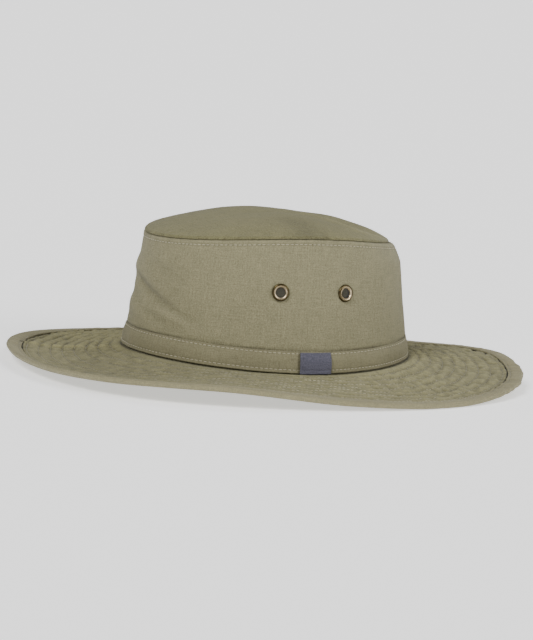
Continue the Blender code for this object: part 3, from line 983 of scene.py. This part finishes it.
def sewing(name, paths, material):
    """Rows of thread in one piece, which knows how deep each stitch is sunk in the cloth."""
    rows = [stitch_row(path) for path in paths]
    only(rows[0])
    for row in rows[1:]:
        row.select_set(True)
    if len(rows) > 1:
        bpy.ops.object.join()
    piece = rows[0]
    piece.name = name
    mesh = piece.data
    places = np.empty(len(mesh.vertices) * 3)
    mesh.vertices.foreach_get("co", places)
    x, y = places[0::3], places[1::3]
    turn = np.degrees(np.arctan2(x, -y))
    patches = 0.65 + lumps(around(turn, 0.13, 4 * np.hypot(x, y)), THREAD_PATCHES)
    sunk = 1 - round_value(turn, THREAD_SHOWS) * np.clip(patches, 0.0, 1.2)
    depth = mesh.attributes.new("sunk", "FLOAT", "POINT")
    depth.data.foreach_set("value", sunk.astype(np.float32))
    mesh.materials.clear()
    mesh.materials.append(material)
    only(piece)
    bpy.ops.object.shade_smooth()
    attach(piece, "root")
    return piece


def all_sewing(pale, plain):
    """The stitches of the seam, the band, the hem and the brim."""
    turn = np.linspace(0, 360, 960, endpoint=False)

    def level(value):
        return np.full(len(turn), value)

    proud = around(turn, level(STITCH_PROUD), 0.0)
    share = 1 - SEAM_ROW / (wall_top(turn) - wall_foot(turn))
    sewing("seam_stitches", [wall_face(turn, share)[0] + proud], pale)
    outer = level(CLEARANCE + BAND_THICKNESS)
    rows = [band_face(turn, level(height), outer)[0] + proud
            for height in (BAND_FOOT_ROW, BAND_HEIGHT - BAND_TOP_ROW)]
    sewing("band_stitches", rows, pale)
    hem = hem_face(turn, level(HEM_WIDTH - HEM_ROW), level(hem_half))[0]
    sewing("hem_stitches", [hem + (0, 0, STITCH_PROUD)], plain)
    rows = []
    for row in range(BRIM_ROWS):
        part = level(FIRST_ROW + row * ROW_STEP)
        points, _ = brim_face(turn, part, level(BRIM_THICKNESS / 2))
        rows.append(points + (0, 0, STITCH_PROUD))
    sewing("brim_stitches", rows, plain)


# Finishes

class Finish:
    """A material and short ways to add nodes to it."""

    def __init__(self, name, **sockets):
        self.material = bpy.data.materials.new(name)
        self.material.use_nodes = True
        self.tree = self.material.node_tree
        self.shader = self.tree.nodes["Principled BSDF"]
        for socket, value in sockets.items():
            self.shader.inputs[socket.replace("_", " ")].default_value = value

    def node(self, kind, inputs=None, output=0, **settings):
        made = self.tree.nodes.new(kind)
        for name, value in settings.items():
            setattr(made, name, value)
        for socket, value in (inputs or {}).items():
            if isinstance(value, bpy.types.NodeSocket):
                self.tree.links.new(value, made.inputs[socket])
            else:
                made.inputs[socket].default_value = value
        return made.outputs[output]

    def sum(self, kind, first, second=0.0, third=None):
        inputs = {0: first, 1: second}
        if third is not None:
            inputs[2] = third
        return self.node("ShaderNodeMath", inputs, operation=kind)

    def spot(self):
        """Object coordinates."""
        return self.node("ShaderNodeTexCoord", output="Object")

    def split(self, spot):
        """The three numbers of a spot."""
        parts = self.tree.nodes.new("ShaderNodeSeparateXYZ")
        self.tree.links.new(spot, parts.inputs[0])
        return parts.outputs["X"], parts.outputs["Y"], parts.outputs["Z"]

    def times(self, first, second, more=None):
        """A product, or a product with something added."""
        if more is None:
            return self.sum("MULTIPLY", first, second)
        return self.sum("MULTIPLY_ADD", first, second, more)

    def run_round(self, x, y):
        """How far round the crown a spot lies."""
        return self.times(self.sum("ARCTAN2", x, self.times(y, -1.0)), HEAD_WIDTH / 2)

    def added(self, first, *others):
        """A sum of two or more values."""
        for other in others:
            first = self.sum("ADD", first, other)
        return first

    def bump(self, height, strength, distance, **more):
        """A normal that follows a height."""
        inputs = {"Strength": strength, "Distance": distance, "Height": height}
        return self.node("ShaderNodeBump", inputs | more)

    def attribute(self, name):
        return self.node("ShaderNodeAttribute", output="Fac", attribute_name=name)

    def speckle(self, spot, size, detail=2.0):
        inputs = {"Vector": spot, "Scale": 1 / size, "Detail": detail}
        return self.node("ShaderNodeTexNoise", inputs)

    def streaks(self, first, second, wide, long):
        """Noise drawn out along the second direction."""
        along = self.node("ShaderNodeCombineXYZ", {
            0: self.sum("MULTIPLY", first, 1 / wide), 1: self.sum("MULTIPLY", second, 1 / long)})
        return self.speckle(along, 1.0)

    def tinted(self, colour, value):
        return self.node("ShaderNodeHueSaturation", {"Color": (*colour, 1.0), "Value": value})

    def give(self, socket, value):
        self.tree.links.new(value, self.shader.inputs[socket])


def woven(name, colour, pitch, lay, contrast=1.0, painted_shading_and_polish=0.11, rumpled=0.00070):
    """Plain-woven cotton: threads over and under, slubs along them, soft mottling, and painted
    shade and light that follow its shape.
    """
    made = Finish(name, Roughness=0.92, Sheen_Weight=0.08, Sheen_Roughness=0.55,
                  Specular_IOR_Level=0.25)
    spot = made.spot()
    x, y, z = made.split(spot)
    if lay == "round":
        u, v = made.run_round(x, y), z
    elif lay == "bias":
        u, v = made.added(x, y), made.sum("SUBTRACT", x, y)
    else:
        u, v = x, y
    warp = made.sum("SINE", made.times(u, math.pi / pitch))
    weft = made.sum("SINE", made.times(v, math.pi / pitch))
    cross = made.times(warp, weft)
    slub_u = made.streaks(u, v, pitch * 1.1, 0.011)
    slub_v = made.streaks(v, u, pitch * 1.1, 0.014)
    mottle = made.speckle(spot, 0.016, 3.0)
    grain = made.speckle(spot, 0.0008, 2.0)
    # Colour value: slubs, mottling and grain, plus painted shading from the cloth's shading
    # attribute
    value = made.added(
        made.times(slub_u, 0.44 * contrast, 1.0 - 0.22 * contrast),
        made.times(slub_v, 0.38 * contrast, -0.19 * contrast),
        made.times(mottle, 0.12, -0.06),
        made.times(grain, 0.80 * contrast, -0.40 * contrast),
        made.times(cross, 0.05 * contrast),
        made.times(made.attribute("painted_shading_and_polish"), painted_shading_and_polish))
    made.give("Base Color", made.tinted(colour, value))
    cells = made.times(made.sum("ABSOLUTE", cross), 0.5)
    threads = made.bump(made.added(cells, made.added(slub_u, slub_v)), 0.8, 0.00010)
    rumple = made.added(made.speckle(spot, 0.0045, 3.0), made.speckle(spot, 0.013, 2.0))
    made.give("Normal", made.bump(rumple, 0.7, rumpled, Normal=threads))
    made.give("Roughness", made.times(slub_u, 0.12, 0.84))
    return made.material


def label_weave():
    """Slate woven tape: close ribs across it, crossed by floats along it."""
    made = Finish("slate_tape", Roughness=0.8, Sheen_Weight=0.15, Specular_IOR_Level=0.35)
    spot = made.spot()
    x, y, z = made.split(spot)
    u = made.run_round(x, y)
    ribs = made.sum("SINE", made.times(z, 2 * math.pi / LABEL_RIB))
    floats = made.sum("SINE", made.times(u, 2 * math.pi / LABEL_FLOAT))
    cross = made.times(ribs, floats)
    slub = made.streaks(z, u, 0.0004, 0.006)
    grain = made.speckle(spot, 0.0009)
    value = made.added(
        made.times(slub, 1.10, 0.45),
        made.times(cross, 0.22),
        made.times(grain, 1.30, -0.65))
    made.give("Base Color", made.tinted((0.088, 0.086, 0.118), value))
    threads = made.added(ribs, made.times(cross, 0.6))
    made.give("Normal", made.bump(threads, 0.8, 0.00009))
    return made.material


def antique_brass():
    """Dark patina on the flange, rubbed bright on the rolled lip."""
    made = Finish("patinated_brass", Metallic=1.0, Roughness=0.35)
    worn = made.speckle(made.spot(), 0.0007, 3.0)
    rubbed = made.added(made.attribute("painted_shading_and_polish"), made.times(worn, 0.30, -0.15))
    blend = made.node("ShaderNodeMapRange", {"Value": rubbed, "From Min": 0.30, "From Max": 0.75})
    patina, bright = (0.075, 0.058, 0.026, 1.0), (0.80, 0.66, 0.44, 1.0)
    made.give("Base Color", made.node("ShaderNodeMix", {0: blend, 6: patina, 7: bright},
                                      output=2, data_type="RGBA"))
    made.give("Roughness", made.times(worn, 0.30, 0.20))
    made.give("Normal", made.bump(worn, 0.3, 0.00004))
    return made.material


def dark_wire():
    """Blackened wire, worn paler here and there."""
    made = Finish("dark_wire", Metallic=0.2, Roughness=0.5)
    worn = made.speckle(made.spot(), 0.0004, 2.0)
    value = made.times(worn, 1.2, 0.4)
    made.give("Base Color", made.tinted((0.092, 0.090, 0.086), value))
    made.give("Roughness", made.times(worn, 0.3, 0.35))
    return made.material


def thread(name, colour, dulled=0.0):
    """Twisted cotton thread, duller where it is drawn into gathered cloth."""
    made = Finish(name, Roughness=0.75, Sheen_Weight=0.2)
    spot = made.spot()
    fray = made.speckle(spot, 0.0006, 2.0)
    twist = made.speckle(spot, 0.00025, 1.0)
    value = made.times(fray, 0.5, 0.75)
    value = made.times(made.attribute("sunk"), -dulled, value)
    made.give("Base Color", made.tinted(colour, value))
    made.give("Normal", made.bump(twist, 0.6, 0.00006))
    return made.material


# Studio

def studio_floor():
    """A round pale floor, wide enough to fill the picture to its top edge."""
    only(None)
    bpy.ops.mesh.primitive_circle_add(vertices=96, radius=FLOOR_RADIUS, fill_type="NGON",
                                      location=(0, 0, cad_box[0][2]))
    floor = settle(bpy.context.object)
    floor.name = "studio_floor"
    edit(floor,
         ("inset", dict(thickness=FLOOR_RADIUS - NEAR_FLOOR)),
         ("inset", dict(thickness=NEAR_FLOOR - 1)))
    return floor


def toward(azimuth, elevation):
    """Direction at two angles in degrees, from the hat outward."""
    turn, rise = math.radians(azimuth), math.radians(elevation)
    flat = math.cos(rise)
    return Vector((math.sin(turn) * flat, -math.cos(turn) * flat, math.sin(rise)))


def soft_sun(row):
    """Light from far away but wide across, so that shadows are soft and the floor even."""
    lamp = bpy.data.lights.new(row.name, "SUN")
    lamp.energy = row.strength
    lamp.angle = math.radians(row.spread)
    item = placed(row.name, lamp)
    back = toward(row.azimuth, row.elevation)
    item.location = back * SUN_DISTANCE
    item.rotation_euler = (-back).to_track_quat("-Z", "Y").to_euler()


def picture_camera():
    """The camera where the picture was taken from, a little above the brim."""
    target = Vector((0, 0, 0.060))
    distance, lens, roll = 1.7077, 135.9, math.radians(3.80)
    azimuth, elevation = 67.6, 7.233
    below, beside = 0.0246, 0.0022
    back = toward(azimuth, elevation)
    level = toward(azimuth + 90, 0)
    plumb = back.cross(level)
    right = level * math.cos(roll) + plumb * math.sin(roll)
    up = plumb * math.cos(roll) - level * math.sin(roll)
    place = target + back * distance
    away = (place - (target - up * below - right * beside)).normalized()
    side = up.cross(away).normalized()
    eye = bpy.data.cameras.new("picture_camera")
    eye.lens = lens
    eye.sensor_width = 36
    eye.clip_end = 600
    camera = placed("picture_camera", eye)
    turned = Matrix((side, away.cross(side), away)).transposed().to_4x4()
    camera.matrix_world = Matrix.Translation(place) @ turned
    bpy.context.scene.camera = camera


def studio():
    """The floor, an even pale sky and three wide lights."""
    floor = studio_floor()
    paint = Finish("studio_white", Roughness=0.9, Base_Color=(0.88, 0.88, 0.88, 1),
                   Emission_Color=(1, 1, 1, 1), Emission_Strength=0.72)
    floor.data.materials.append(paint.material)
    world = bpy.data.worlds.new("studio_world")
    world.use_nodes = True
    sky = world.node_tree.nodes["Background"]
    sky.inputs["Color"].default_value = (1, 1, 1, 1)
    sky.inputs["Strength"].default_value = 0.22
    bpy.context.scene.world = world
    for row in SUNS:
        soft_sun(row)


picture_camera()
studio()

# One khaki cloth in four copies: the wall and hem copies are painted lighter and the tip and brim
# copies darker, as painted light and shade for upright and flat faces
khaki_flat_shaded = woven("khaki_cotton_flat_shaded", (0.173, 0.161, 0.079), CLOTH_PITCH, "flat",
                   contrast=1.5, painted_shading_and_polish=0.17)
khaki_round_lit = woven("khaki_cotton_round_lit", (0.210, 0.194, 0.113), CLOTH_PITCH, "round",
                    contrast=1.3, painted_shading_and_polish=0.13)
khaki_brim_shaded = woven("khaki_cotton_brim_shaded", (0.181, 0.168, 0.085), CLOTH_PITCH, "flat",
                   contrast=1.5, painted_shading_and_polish=0.23, rumpled=0.0018)
khaki_bias_lit = woven("khaki_cotton_bias_lit", (0.225, 0.205, 0.118), CLOTH_PITCH, "bias")
band_cloth = woven("band_cotton_round", (0.195, 0.179, 0.105), BAND_PITCH, "round")
pale_thread = thread("pale_thread", (0.44, 0.405, 0.28))
khaki_thread = thread("khaki_thread", (0.50, 0.46, 0.32), dulled=0.60)
brass = antique_brass()
wire = dark_wire()

brim_panel(khaki_brim_shaded)
rim_hem(khaki_bias_lit)
crown_panel(khaki_round_lit)
tip_panel(khaki_flat_shaded)
band_strip(band_cloth)
woven_label(label_weave())
for eyelet in EYELETS:
    eyelet_ring(*eyelet, brass)
    wire_mesh(*eyelet, wire)
all_sewing(pale_thread, khaki_thread)
